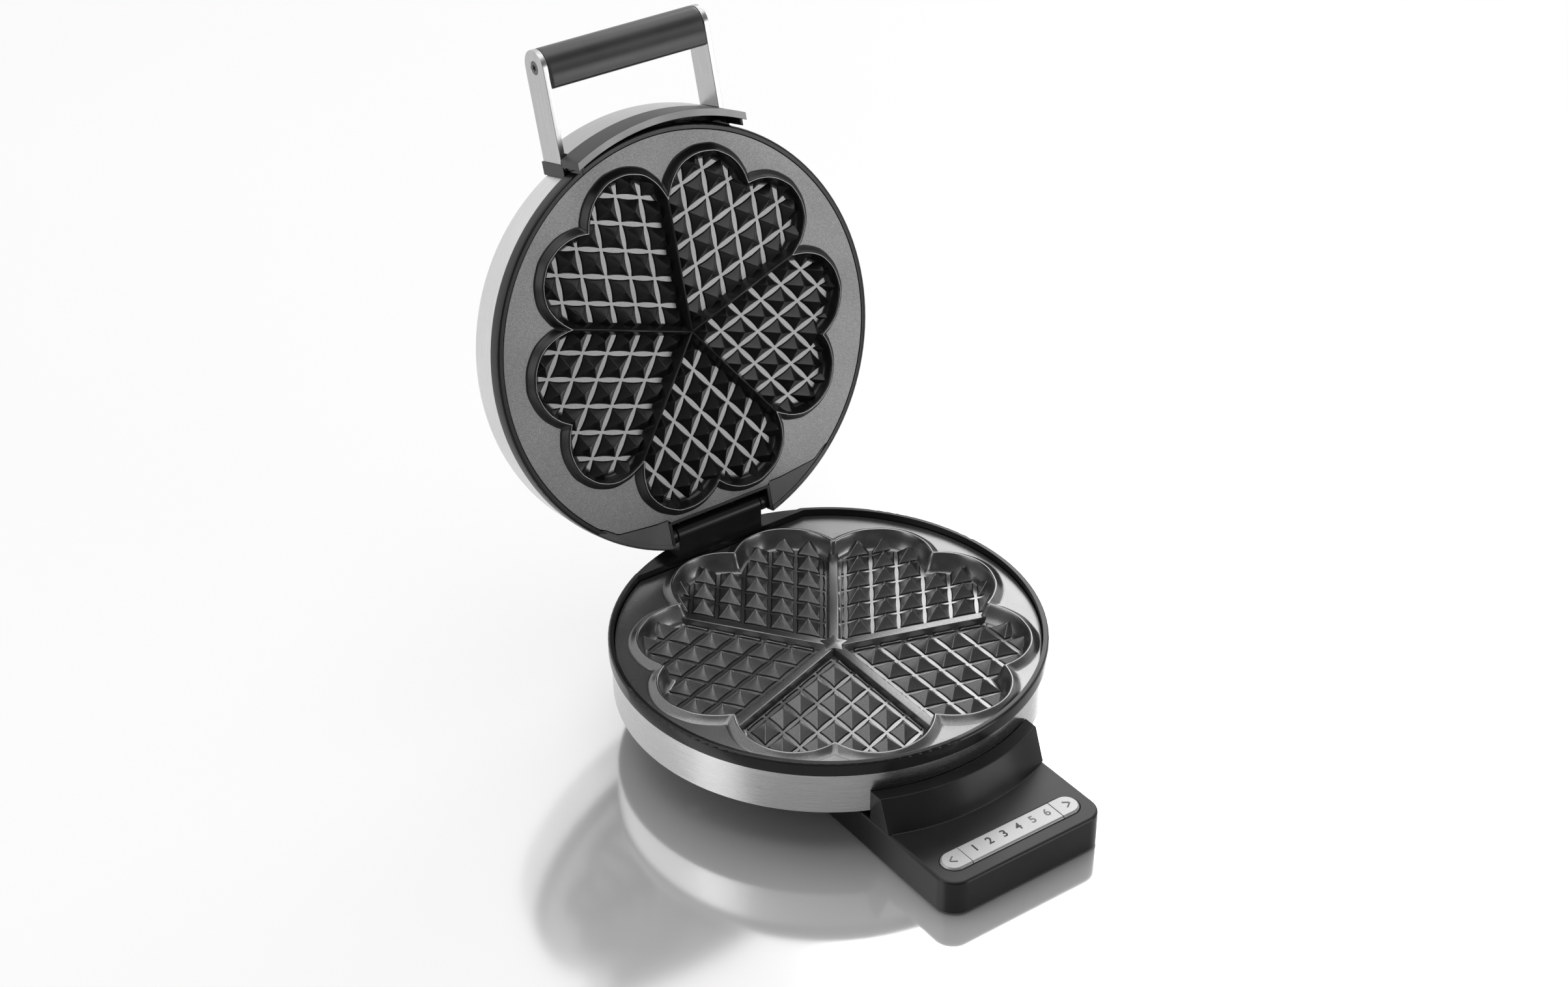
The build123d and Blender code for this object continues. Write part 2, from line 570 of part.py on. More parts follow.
pb = box(-40, 40, -70, 40, 8.0, 9.6) - group([cyl(1.6, 0, 20, x, y) for x in (-36, 36) for y in (-66, 36)] + [cyl(4.2, 0, 20, 0, -20)])
put("power_board", pb)
put("power_parts", group([
    box(-34, -15, -40, -12, 9.6, 24.0),
    box(-34, -15, -6, 22, 9.6, 24.0),
    box(-6, 22, -50, -24, 9.6, 22.5),
    cyl(6.0, 9.6, 23.0, 30, -10), box(-4, 14, 6, 13, 9.6, 20.0), box(20, 34, 10, 30, 9.6, 19.0)]))
put("terminal_block", box(14, 36, 74, 88, Z_BOX0 + 2.0, 15.0) - group([cyl(2.0, 8, 20, x, 81) for x in (18.5, 25, 31.5)]))
gl = Pos(30, BOX_Y1 + 1.5, 12.5) * Rot(90, 0, 0) * Cylinder(7.2, 3.0)
gl += Pos(30, BOX_Y1 - 4.5, 12.5) * Rot(90, 0, 0) * Cylinder(4.55, 10.0)
gl += Pos(30, BOX_Y1 - 6.0, 12.5) * Rot(90, 0, 0) * Cylinder(5.7, 5.0)
gl -= Pos(30, BOX_Y1 - 3.0, 12.5) * Rot(90, 0, 0) * Cylinder(3.4, 20.0)
put("cable_gland", gl)

# ================================================================== LID (modelled closed)


def plate_edge(d):
    """Rear outline of the upper plate; everything behind it belongs to the bezel."""
    return [(-140, 140), (-140, 84 + d), (-72, 84 + d), (-64, 89.6 + d), (-40 - d, 92.2 + d), (-33, 92.2 + d), (-33, 94.1 + d * 0.3),
            (33, 94.1 + d * 0.3), (33, 92.2 + d), (40 + d, 92.2 + d), (64, 89.6 + d), (72, 84 + d), (140, 84 + d), (140, 140)]


def lid_cover():
    o = cyl(R_BAND, Z_LB1, Z_TOP)
    o = fillet([e for e in o.edges() if abs(e.center().Z - Z_TOP) < 0.01], 6.0)
    i = cyl(R_BAND - 0.8, Z_LB1 - 5, Z_TOP - 0.8)
    i = fillet([e for e in i.edges() if abs(e.center().Z - (Z_TOP - 0.8)) < 0.01], 5.2)
    c = o - i
    c -= box(-REC_X - 2.1, REC_X + 2.1, 90, 130, 0, REC_Z + 1.7)
    for x in (-30, 0, 30):
        c -= Pos(x, -110, H + 22) * Rot(90, 0, 0) * Cylinder(1.7, 12)
    return c


def lid_bezel():
    b = cyl(R_RING, Z_LB0, Z_LB1)
    b = fillet([e for e in b.edges() if abs(e.center().Z - Z_LB0) < 0.01], 1.4)
    b -= cyl(R_BAND - 1.0, Z_LB0 + 3.0, Z_LB1 + 1)
    b -= cyl(R_PLATE + 0.4, 0, 200) - prism(plate_edge(0.5), Z_LB0 + 0.5, Z_LB0 + 3.2)
    b -= box(-REC_X - 2.1, REC_X + 2.1, 93.9, 130, 0, 200)
    return b


def lid_hinge_housing():
    o = box(-REC_X - 2, REC_X + 2, REC_Y - 1.6, 118, Z_LB0 + 0.4, REC_Z + 1.6)
    i = box(-REC_X, REC_X, REC_Y, 130, 0, REC_Z)
    h = (o - i) & cyl(R_BAND - 0.9, 0, 200)
    for s in (-1, 1):
        x0, x1 = (27.4, REC_X + 0.5) if s > 0 else (-REC_X - 0.5, -27.4)
        h += xcyl(5.0, x0, x1, HINGE_Y, HINGE_Z)
    h -= xcyl(PIN_R + 0.05, -50, 50, HINGE_Y, HINGE_Z)
    h -= box(-14, 8, REC_Y - 3, REC_Y + 1, HINGE_Z + 1.5, HINGE_Z + 3.5)
    return h


put("lid_cover", lid_cover(), True)
put("lid_bezel", lid_bezel(), True)
put("lid_hinge_housing", lid_hinge_housing(), True)
put("upper_plate", upper_plate(), True)
UBACK = H + UP_FLOOR + 2.6
put("upper_heater", heater(UBACK + 3.0, True), True)
Z_UREFL = UBACK + 9.6
put("upper_reflector", reflector(Z_UREFL, True, 80), True)
put("lid_studs", group([tube(4.0, 1.7, Z_UREFL, Z_TOP - 0.8, *ringpos(80, a)) for a in ANG]), True)
put("upper_spacers", group([tube(4.0, 1.75, UBACK + 6.0, Z_UREFL - 0.8, *ringpos(80, a)) for a in ANG]), True)
put("upper_plate_screws", group([screw(*ringpos(80, a), Z_TOP - 2.4, Z_TOP - 2.4 - 1.2 - UBACK - 1.0, 1.65, 1.2, 1.5, False) for a in ANG]), True)
put("upper_thermal_fuse", Pos(24, -20, Z_UREFL + 2.6) * Rot(0, 90, 0) * Cylinder(2.0, 14)
    + box(20, 28, -24, -16, Z_UREFL, Z_UREFL + 1.2) + box(20, 28, -23.2, -22.2, Z_UREFL, Z_UREFL + 4.2), True)


def sector(ri, ro, z0, z1, hx):
    s = tube(ro, ri, z0, z1)
    return s & box(-hx, hx, -140, -60, z0 - 1, z1 + 1)


def handle_mount():
    m = sector(R_BAND + 0.1, 121.9, Z_SK1, Z_TOP - 4.4, 47.0)
    m -= sector(R_BAND + 2.6, 119.4, Z_SK1 + 2.4, Z_TOP - 6.8, 44.0)
    m += sector(R_SK0, R_SK1, Z_SK0, Z_SK1, 51.5)
    m += sector(116.0, 119.5, Z_SK0 + 1.0, Z_SK1, 49.4) & (box(47.8, 49.4, -140, -60, 0, 200) + box(-49.4, -47.8, -140, -60, 0, 200))
    m += sector(R_BAND + 0.1, 121.9, Z_SK1, Z_SK1 + 1.6, 51.2)
    for s in (-1, 1):
        x0, x1 = (46.0, 51.2) if s > 0 else (-51.2, -46.0)
        blk = box(x0, x1, -108.6, -90, Z_SK1, ARM_ZC + ARM_R + 1.2) - cyl(R_BAND + 0.1, 0, 200)
        m += blk
        x0, x1 = (ARM_XI - 0.02, ARM_XO + 0.02) if s > 0 else (-ARM_XO - 0.02, -ARM_XI + 0.02)
        m -= box(x0, x1, -130, -103.4, Z_SK1 + 1.9, ARM_ZC + ARM_R + 0.02)
        m -= cyl(0.92, Z_SK1 - 1, Z_SK1 + 3.0, s * 49.0, -107.0) + cyl(1.95, Z_SK1 - 1.4, Z_SK1, s * 49.0, -107.0)
    m -= cyl(R_RING + 0.15, 0, Z_LB1 + 0.05)
    for x in (-30, 0, 30):
        m -= Pos(x, -114, H + 22) * Rot(90, 0, 0) * Cylinder(1.25, 10)
    return m


put("handle_mount", handle_mount(), True)
tr = sector(121.95, 122.95, Z_SK1 + 0.1, Z_TOP - 3.6, 46.9) + sector(R_BAND + 0.1, 122.95, Z_TOP - 4.35, Z_TOP - 3.4, 45.9)
put("crescent_trim", tr, True)


def arm(s):
    x0, x1 = (ARM_XI, ARM_XO) if s > 0 else (-ARM_XO, -ARM_XI)
    a = box(x0, x1, ARM_YC, -103.5, ARM_ZC - ARM_R, ARM_ZC + ARM_R) + xcyl(ARM_R, x0, x1, ARM_YC, ARM_ZC)
    a = a - box(x0 - 1, x1 + 1, -109.6, -100, ARM_ZC - ARM_R - 1, Z_SK1 + 1.95)
    xo = s * ARM_XO
    a -= xcyl(2.1, min(x0, x1) - 1, max(x0, x1) + 1, ARM_YC, ARM_ZC)
    hd = Pos(xo - s * 1.0, ARM_YC, ARM_ZC) * Rot(0, 90, 0) * (Cone(2.1, 3.75, 2.0) if s > 0 else Cone(3.75, 2.1, 2.0))
    a -= hd
    a -= cyl(0.9, Z_SK1, Z_SK1 + 8.6, s * 49.0, -107.0)
    return a


put("handle_arm_right", arm(1), True)
put("handle_arm_left", arm(-1), True)

c = 1.3
pts = [(ARM_YC, ARM_ZC + ARM_R), (GRIP_Y - c, ARM_ZC + ARM_R), (GRIP_Y, ARM_ZC + ARM_R - c),
       (GRIP_Y, ARM_ZC - ARM_R - 0.4), (GRIP_Y - 6.0, ARM_ZC - ARM_R - 1.3), (ARM_YC, ARM_ZC - ARM_R)]
grip = xprism(pts, -ARM_XI + 0.02, ARM_XI - 0.02) + xcyl(ARM_R, -ARM_XI + 0.02, ARM_XI - 0.02, ARM_YC, ARM_ZC)
grip -= xcyl(1.7, -60, 60, ARM_YC, ARM_ZC)
put("handle_grip", grip, True)


def csk(s):
    h = Pos(s * (ARM_XO - 1.05), ARM_YC, ARM_ZC) * Rot(0, 90, 0) * (Cone(2.0, 3.6, 1.9) if s > 0 else Cone(3.6, 2.0, 1.9))
    x0, x1 = (ARM_XI - 14, ARM_XO - 1.0) if s > 0 else (-ARM_XO + 1.0, -ARM_XI + 14)
    h += xcyl(1.65, x0, x1, ARM_YC, ARM_ZC)
    xo = s * (ARM_XO - 0.1)
    for a in (0, 60, 120):
        h -= Pos(xo, ARM_YC, ARM_ZC) * Rot(a, 0, 0) * Box(2.2, 3.6, 0.8)
    return h


put("handle_screws", group([csk(1), csk(-1)]), True)
put("mount_screws", group([Pos(x, -math.sqrt((R_BAND - 0.8) ** 2 - x * x) + 1.6, H + 22) * Rot(90, 0, 0) * Cylinder(2.9, 1.2)
                           + Pos(x, -math.sqrt((R_BAND - 0.8) ** 2 - x * x) - 2.6, H + 22) * Rot(90, 0, 0) * Cylinder(1.2, 8.0) for x in (-30, 0, 30)]), True)
put("foot_screws", group([cyl(1.7, Z_SK1 - 0.9, Z_SK1 - 0.02, s * 49.0, -107.0) + cyl(0.88, Z_SK1 - 0.5, Z_SK1 + 8.0, s * 49.0, -107.0) for s in (-1, 1)]), True)
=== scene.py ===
import bpy, bmesh, math
from mathutils import Matrix, Vector


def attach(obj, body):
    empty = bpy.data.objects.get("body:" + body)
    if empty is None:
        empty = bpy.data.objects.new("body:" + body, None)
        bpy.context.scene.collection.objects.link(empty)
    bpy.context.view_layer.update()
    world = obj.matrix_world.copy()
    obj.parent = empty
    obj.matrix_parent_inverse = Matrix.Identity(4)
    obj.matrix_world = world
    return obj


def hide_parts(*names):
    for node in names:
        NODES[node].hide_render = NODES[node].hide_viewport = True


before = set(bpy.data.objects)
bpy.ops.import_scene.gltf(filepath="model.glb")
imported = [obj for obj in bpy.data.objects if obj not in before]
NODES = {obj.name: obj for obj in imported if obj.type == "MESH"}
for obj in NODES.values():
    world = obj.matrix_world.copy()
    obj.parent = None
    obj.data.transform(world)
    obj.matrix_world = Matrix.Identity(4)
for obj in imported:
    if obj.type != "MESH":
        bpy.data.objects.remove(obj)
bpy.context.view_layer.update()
MM = 0.001

# ------------------------------------------------------------------ sizes shared with the CAD, in mm
H, PY = 57.0, -5.1
R_PLATE, PLATE_CHORD = 111.5, 97.3
PITCH, STRIP = 14.72, 1.4
HINGE_Y, HINGE_Z, OPEN_DEG = 104.5, 69.8, 105.14
Z_PANEL, STRIP_YC, STRIP_R, STRIP_X, KEY_SEAM, STRIP_PROUD = 20.9, -151.4, 6.9, 42.3, 28.7, 1.2
Z_KEY = Z_PANEL + STRIP_PROUD
S36, C36 = math.sin(math.radians(36)), math.cos(math.radians(36))
LOW = [(0.0, 91.5), (4.9, 95.2), (10.5, 98.0), (16.5, 99.3), (22.5, 99.5), (28.1, 98.3),
       (33.4, 96.0), (37.8, 92.8), (42.8, 88.0), (46.1, 82.6), (48.6, 76.0), (50.0, 68.9)]
UPP = [(0.0, 84.4), (4.6, 88.4), (10.6, 91.6), (16.0, 93.0), (20.7, 93.2), (25.6, 92.8),
       (29.5, 91.4), (36.6, 87.0), (42.6, 79.1), (44.4, 70.5), (43.8, 63.5), (42.8, 58.9)]
CLOSED_TO_OPEN = (Matrix.Translation((0, HINGE_Y, HINGE_Z)) @ Matrix.Rotation(math.radians(-OPEN_DEG), 4, "X")
                  @ Matrix.Translation((0, -HINGE_Y, -HINGE_Z)))


# ------------------------------------------------------------------ material helpers
def new_mat(name):
    m = bpy.data.materials.new(name)
    m.use_nodes = True
    nt = m.node_tree
    nt.nodes.clear()
    out = nt.nodes.new("ShaderNodeOutputMaterial")
    b = nt.nodes.new("ShaderNodeBsdfPrincipled")
    nt.links.new(b.outputs[0], out.inputs[0])
    return m, nt, b


def coords(nt, scale=(1, 1, 1), lid=False):
    """Object coordinates in the row frame; on the lid they are turned back to the closed position."""
    tc = nt.nodes.new("ShaderNodeTexCoord")
    out = tc.outputs["Object"]
    if lid:
        r = nt.nodes.new("ShaderNodeVectorRotate")
        r.rotation_type = "AXIS_ANGLE"
        r.inputs["Axis"].default_value = (1, 0, 0)
        r.inputs["Center"].default_value = (0, HINGE_Y * MM, HINGE_Z * MM)
        r.inputs["Angle"].default_value = math.radians(OPEN_DEG)
        nt.links.new(out, r.inputs["Vector"])
        out = r.outputs[0]
    mp = nt.nodes.new("ShaderNodeMapping")
    mp.inputs["Scale"].default_value = scale
    nt.links.new(out, mp.inputs["Vector"])
    return mp.outputs[0]


def noise(nt, vec, scale, detail=2.0, rough=0.5):
    n = nt.nodes.new("ShaderNodeTexNoise")
    n.inputs["Scale"].default_value = scale
    n.inputs["Detail"].default_value = detail
    n.inputs["Roughness"].default_value = rough
    nt.links.new(vec, n.inputs["Vector"])
    return n.outputs[0]


def ramp(nt, fac, stops):
    r = nt.nodes.new("ShaderNodeValToRGB")
    while len(r.color_ramp.elements) > 1:
        r.color_ramp.elements.remove(r.color_ramp.elements[-1])
    for i, (p, c) in enumerate(stops):
        e = r.color_ramp.elements[0] if i == 0 else r.color_ramp.elements.new(p)
        e.position = p
        e.color = (c, c, c, 1) if isinstance(c, (int, float)) else (*c, 1)
    nt.links.new(fac, r.inputs[0])
    return r.outputs[0]


def maprange(nt, fac, lo, hi, a=0.3, b=0.7):
    r = nt.nodes.new("ShaderNodeMapRange")
    r.inputs[1].default_value, r.inputs[2].default_value = a, b
    r.inputs[3].default_value, r.inputs[4].default_value = lo, hi
    nt.links.new(fac, r.inputs[0])
    return r.outputs[0]


def bump(nt, b, fac, strength, dist):
    n = nt.nodes.new("ShaderNodeBump")
    n.inputs["Strength"].default_value = strength
    n.inputs["Distance"].default_value = dist
    nt.links.new(fac, n.inputs["Height"])
    nt.links.new(n.outputs[0], b.inputs["Normal"])
    return n


def math_node(nt, op, a, b=None):
    n = nt.nodes.new("ShaderNodeMath")
    n.operation = op
    for i, v in enumerate((a, b)):
        if v is None:
            continue
        if isinstance(v, (int, float)):
            n.inputs[i].default_value = v
        else:
            nt.links.new(v, n.inputs[i])
    return n.outputs[0]


def plastic(name, lo, hi, rough, grain=2600.0, strength=0.12, dist=0.00005, coat=0.0, lid=False, spec=0.32):
    m, nt, b = new_mat(name)
    b.inputs["Specular IOR Level"].default_value = spec
    v = coords(nt, lid=lid)
    g = noise(nt, v, grain, 2.0)
    cloud = noise(nt, v, 35.0, 3.0)
    nt.links.new(ramp(nt, cloud, [(0.3, lo), (0.7, hi)]), b.inputs["Base Color"])
    nt.links.new(maprange(nt, cloud, rough - 0.03, rough + 0.04), b.inputs["Roughness"])
    bump(nt, b, g, strength, dist)
    if coat:
        b.inputs["Coat Weight"].default_value = coat
        b.inputs["Coat Roughness"].default_value = 0.12
    return m


def metal(name, lo, hi, rough, scale=900.0, strength=0.08, dist=0.00003, stretch=(1, 1, 1), lid=False):
    m, nt, b = new_mat(name)
    b.inputs["Metallic"].default_value = 1.0
    v = coords(nt, stretch, lid)
    g = noise(nt, v, scale, 4.0, 0.6)
    nt.links.new(ramp(nt, g, [(0.3, lo), (0.7, hi)]), b.inputs["Base Color"])
    nt.links.new(maprange(nt, g, rough - 0.06, rough + 0.07), b.inputs["Roughness"])
    bump(nt, b, g, strength, dist)
    return m


def brushed(name, lid, lo=0.36, hi=0.58, rough=0.27, radial=False):
    """Stainless sheet brushed round the housing on its side and straight across on its flat top."""
    m, nt, b = new_mat(name)
    b.inputs["Metallic"].default_value = 1.0
    v = coords(nt, lid=lid)
    s = nt.nodes.new("ShaderNodeSeparateXYZ")
    nt.links.new(v, s.inputs[0])
    x, y, z = s.outputs
    ang = math_node(nt, "ARCTAN2", y, x)
    rad = math_node(nt, "SQRT", math_node(nt, "ADD", math_node(nt, "MULTIPLY", x, x), math_node(nt, "MULTIPLY", y, y)))

    def comb(a, bb, c):
        n = nt.nodes.new("ShaderNodeCombineXYZ")
        for i, q in enumerate((a, bb, c)):
            nt.links.new(q, n.inputs[i])
        return n.outputs[0]
    side = comb(math_node(nt, "MULTIPLY", ang, 5.0), math_node(nt, "MULTIPLY", z, 5200.0), math_node(nt, "MULTIPLY", z, 0.0))
    flat = comb(math_node(nt, "MULTIPLY", x, 45.0), math_node(nt, "MULTIPLY", y, 5200.0), math_node(nt, "MULTIPLY", y, 0.0))
    n1, n2 = noise(nt, side, 1.0, 3.0, 0.65), noise(nt, flat, 1.0, 3.0, 0.65)
    mix = nt.nodes.new("ShaderNodeMix")
    mix.data_type = "FLOAT"
    # flat top: closed radius well inside the edge
    nt.links.new(maprange(nt, rad, 1.0, 0.0, 0.1065, 0.1080), mix.inputs[0])
    nt.links.new(n1, mix.inputs[2])
    nt.links.new(n2, mix.inputs[3])
    g = mix.outputs[0]
    tone = nt.nodes.new("ShaderNodeMix")
    tone.data_type = "RGBA"
    tone.blend_type = "MULTIPLY"
    tone.inputs[0].default_value = 1.0
    nt.links.new(ramp(nt, g, [(0.25, lo), (0.75, hi)]), tone.inputs[6])
    nt.links.new(ramp(nt, noise(nt, v, 14.0, 2.0), [(0.3, 0.90), (0.7, 1.0)]), tone.inputs[7])
    nt.links.new(tone.outputs[2], b.inputs["Base Color"])
    nt.links.new(maprange(nt, g, rough - 0.05, rough + 0.1), b.inputs["Roughness"])
    bump(nt, b, g, 0.16, 0.00004)
    if radial:
        t = nt.nodes.new("ShaderNodeTangent")
        t.direction_type, t.axis = "RADIAL", "Z"
        nt.links.new(t.outputs[0], b.inputs["Tangent"])
        b.inputs["Anisotropic"].default_value = 0.7
    return m


def brushed_line(name, stretch, lo=0.38, hi=0.62, rough=0.28, lid=True):
    m, nt, b = new_mat(name)
    b.inputs["Metallic"].default_value = 1.0
    v = coords(nt, stretch, lid)
    g = noise(nt, v, 1.0, 3.0, 0.65)
    nt.links.new(ramp(nt, g, [(0.25, lo), (0.75, hi)]), b.inputs["Base Color"])
    nt.links.new(maprange(nt, g, rough - 0.05, rough + 0.09), b.inputs["Roughness"])
    bump(nt, b, g, 0.15, 0.00004)
    return m


def coating(name, dark, light, rough, metallic=0.3, speck=3600.0, lid=False, coat=0.0):
    """Non-stick coating with fine flakes."""
    m, nt, b = new_mat(name)
    b.inputs["Metallic"].default_value = metallic
    v = coords(nt, lid=lid)
    g = noise(nt, v, speck, 1.0, 0.5)
    nt.links.new(ramp(nt, g, [(0.34, dark), (0.5, (dark + light) / 2.4), (0.66, light)]), b.inputs["Base Color"])
    cloud = noise(nt, v, 28.0, 2.0)
    nt.links.new(maprange(nt, cloud, rough - 0.03, rough + 0.03), b.inputs["Roughness"])
    bump(nt, b, g, 0.10, 0.00005)
    if coat:
        b.inputs["Coat Weight"].default_value = coat
        b.inputs["Coat Roughness"].default_value = 0.1
    return m


M = {}
M["black"] = plastic("black_satin_plastic", 0.009, 0.014, 0.31)
M["black_lid"] = plastic("black_satin_plastic_lid", 0.006, 0.010, 0.30, lid=True, spec=0.4)
M["black_gloss"] = plastic("black_gloss_plastic", 0.009, 0.013, 0.22, strength=0.05)
# painted light: a grey grained copy of the black lid plastic, laid on the handle mount's downward faces
M["grained"] = plastic("grained_plastic_edge_painted_light", 0.34, 0.56, 0.5, grain=1500.0, strength=0.5, dist=0.00012, lid=True)
# painted light: a grey grained copy of the black lid plastic, laid on the lid bezel's flat faces near the hinge
M["bezel_face"] = plastic("grained_bezel_face_painted_light", 0.07, 0.12, 0.40, grain=2600.0, strength=0.35, dist=0.00008, lid=True, spec=0.5)
M["grained_dark"] = plastic("grained_plastic_side", 0.02, 0.05, 0.42, grain=1500.0, strength=0.6, dist=0.00012, lid=True)
M["grip"] = plastic("grip_plastic", 0.028, 0.040, 0.34, grain=3200.0, lid=True, spec=0.6)
M["band"] = brushed("brushed_band", False, 0.44, 0.68, 0.22, radial=True)
M["cover"] = brushed("brushed_cover", True, 0.58, 0.80, 0.3)
M["arm"] = brushed_line("brushed_arm", (3600, 25, 3600))
M["trim"] = brushed("brushed_trim", True)
# painted sheen: the base plate's flange is a grey copy of the dark coating, standing in for the light it reflects
M["flange_low"] = coating("coated_flange_base_painted_light", 0.20, 0.30, 0.28, 0.88, speck=3000.0)
# painted sheen: the lid's flange is a grey copy of its dark coating, standing in for the light it reflects
M["flange_up"] = coating("coated_flange_lid_painted_sheen", 0.19, 0.35, 0.42, 0.6, lid=True, speck=3400.0)
# painted light: lighter copy of the coating on the base plate's pyramids, ribs and walls, raised to brighten the
# facets
M["cavity_low"] = coating("coated_cavity_base_painted_light", 0.15, 0.23, 0.25, 0.9, coat=0.12)
# painted shade: a near-black, non-metallic copy of the coating on the lid rim's outer slope stands in for the shadow
# on it
M["wall_up"] = coating("coated_wall_lid_painted_shade", 0.006, 0.010, 0.34, 0.0, lid=True)
# painted highlight: lighter copies of the coating on the rim crests of both plates stand in for the light their
# rounded edges catch
M["edge_low"] = coating("painted_highlight_edge_base", 0.24, 0.33, 0.24, 0.95)
M["edge_up"] = coating("painted_highlight_edge_lid", 0.26, 0.36, 0.28, 0.9, lid=True)
M["cavity_up"] = coating("coated_cavity_lid", 0.016, 0.03, 0.24, 0.6, lid=True, coat=0.15)
# painted light: lighter copy of the coating on the base plate's floor strips
M["floor_low"] = coating("coated_floor_base_painted_light", 0.22, 0.32, 0.22, 0.92)
# painted light: the strips between the lid's pyramids are a lighter copy of its dark coating
M["floor_up"] = coating("coated_floor_lid_painted_light", 0.30, 0.40, 0.36, 0.6, lid=True)
M["screw_dark"] = metal("dark_steel_lid", 0.10, 0.16, 0.3, lid=True)
M["screw"] = metal("bright_steel", 0.50, 0.66, 0.22)
M["screw_lid"] = metal("bright_steel_lid", 0.50, 0.66, 0.22, lid=True)
M["heater"] = metal("heater_sheath", (0.20, 0.18, 0.15), (0.34, 0.31, 0.28), 0.42, 260.0)
M["reflector"] = metal("bright_sheet", 0.66, 0.78, 0.25, 1.0, stretch=(12, 900, 900))
M["rubber"] = plastic("foot_rubber", 0.016, 0.024, 0.72, grain=1800.0, strength=0.3)
M["key"] = coating("pearl_key", 0.36, 0.46, 0.34, 0.55, 5200.0)
M["key_mark"] = plastic("key_mark_grey", 0.12, 0.15, 0.45)
M["digit_dark"] = plastic("digit_dark", 0.02, 0.03, 0.45)
M["digit_mid"] = plastic("digit_mid", 0.07, 0.09, 0.45)
M["digit_pale"] = plastic("digit_pale", 0.16, 0.19, 0.45)
M["board"] = plastic("solder_mask", (0.012, 0.10, 0.035), (0.02, 0.15, 0.05), 0.32, grain=900.0)
M["component"] = plastic("component_body", 0.05, 0.09, 0.45)
M["led"] = plastic("clear_led", 0.75, 0.85, 0.18, strength=0.03)

DONE = set()


def paint(node, key):
    o = NODES[node]
    o.data.materials.clear()
    o.data.materials.append(M[key])
    DONE.add(node)


def add_piece(name, bm, mats, body, replaces=(), lid=False, smooth=True, weighted=True, angle=None, bevel=None, mm=True):
    me = bpy.data.meshes.new(name)
    if lid:
        S = Matrix.Scale(1 / MM, 4) if mm else Matrix.Identity(4)
        for v in bm.verts:
            v.co = CLOSED_TO_OPEN_MM @ v.co
    bmesh.ops.recalc_face_normals(bm, faces=bm.faces)
    if mm:
        bmesh.ops.scale(bm, vec=(MM, MM, MM), verts=bm.verts)
    bm.to_mesh(me)
    bm.free()
    o = bpy.data.objects.new(name, me)
    bpy.context.scene.collection.objects.link(o)
    for k in mats:
        me.materials.append(M[k])
    if smooth:
        me.shade_smooth()
    if bevel:
        b = o.modifiers.new("edge", "BEVEL")
        b.width, b.segments, b.limit_method, b.angle_limit = bevel[0] * MM, bevel[1], "ANGLE", math.radians(bevel[2])
        b.use_clamp_overlap = False
        b.harden_normals = False
    if weighted:
        w = o.modifiers.new("normals", "WEIGHTED_NORMAL")
        w.mode = "FACE_AREA"
        w.weight = 60
        w.keep_sharp = bevel is None
    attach(o, body)
    if replaces:
        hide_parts(*replaces)
        DONE.update(replaces)
    return o


CLOSED_TO_OPEN_MM = (Matrix.Translation((0, HINGE_Y, HINGE_Z)) @ Matrix.Rotation(math.radians(-OPEN_DEG), 4, "X")
                     @ Matrix.Translation((0, -HINGE_Y, -HINGE_Z)))


def soften(node, mats, body, width, segs=2, angle=32, flat=0.6, pick=None):
    """The CAD solid's own shape, its edges rounded by a bevel when width is set, else only shaded smooth with creases
    past angle kept sharp.
    """
    bm = bmesh.new()
    bm.from_mesh(NODES[node].data)
    bmesh.ops.remove_doubles(bm, verts=bm.verts, dist=2e-6)
    if width:
        bmesh.ops.dissolve_limit(bm, angle_limit=math.radians(flat), verts=bm.verts, edges=bm.edges, use_dissolve_boundaries=False)
    inv = CLOSED_TO_OPEN_MM.inverted()
    bm.normal_update()
    for f in bm.faces:
        c, n = f.calc_center_median() / MM, f.normal
        if body == "lid":
            c, n = inv @ c, inv.to_3x3() @ n
        f.material_index = pick(c, n) if pick else 0
    if not width:
        for e in bm.edges:
            e.smooth = e.calc_face_angle(0.0) < math.radians(angle)
    return add_piece(node + "_body", bm, mats, body, (node,), bevel=(width, segs, angle) if width else None, mm=False,
                     weighted="bezel" not in node)


# ------------------------------------------------------------------ heart outline
def spline(pts, n):
    """Catmull-Rom through pts, n points evenly spaced along its length."""
    P = [Vector((2 * pts[0][0] - pts[1][0], 2 * pts[0][1] - pts[1][1]))] + [Vector(p) for p in pts] + \
        [Vector((2 * pts[-1][0] - pts[-2][0], 2 * pts[-1][1] - pts[-2][1]))]
    dense = []
    for i in range(1, len(P) - 2):
        for k in range(12):
            t = k / 12
            a, b, c, d = P[i - 1], P[i], P[i + 1], P[i + 2]
            dense.append(0.5 * ((2 * b) + (c - a) * t + (2 * a - 5 * b + 4 * c - d) * t * t + (3 * b - a - 3 * c + d) * t ** 3))
    dense.append(P[-2])
    L = [0.0]
    for i in range(1, len(dense)):
        L.append(L[-1] + (dense[i] - dense[i - 1]).length)
    out, j = [], 0
    for k in range(n):
        s = L[-1] * k / (n - 1)
        while j < len(L) - 2 and L[j + 1] < s:
            j += 1
        f = (s - L[j]) / max(1e-9, L[j + 1] - L[j])
        out.append(dense[j].lerp(dense[j + 1], min(1, max(0, f))))
    return out


C0 = (22.0, 72.0)


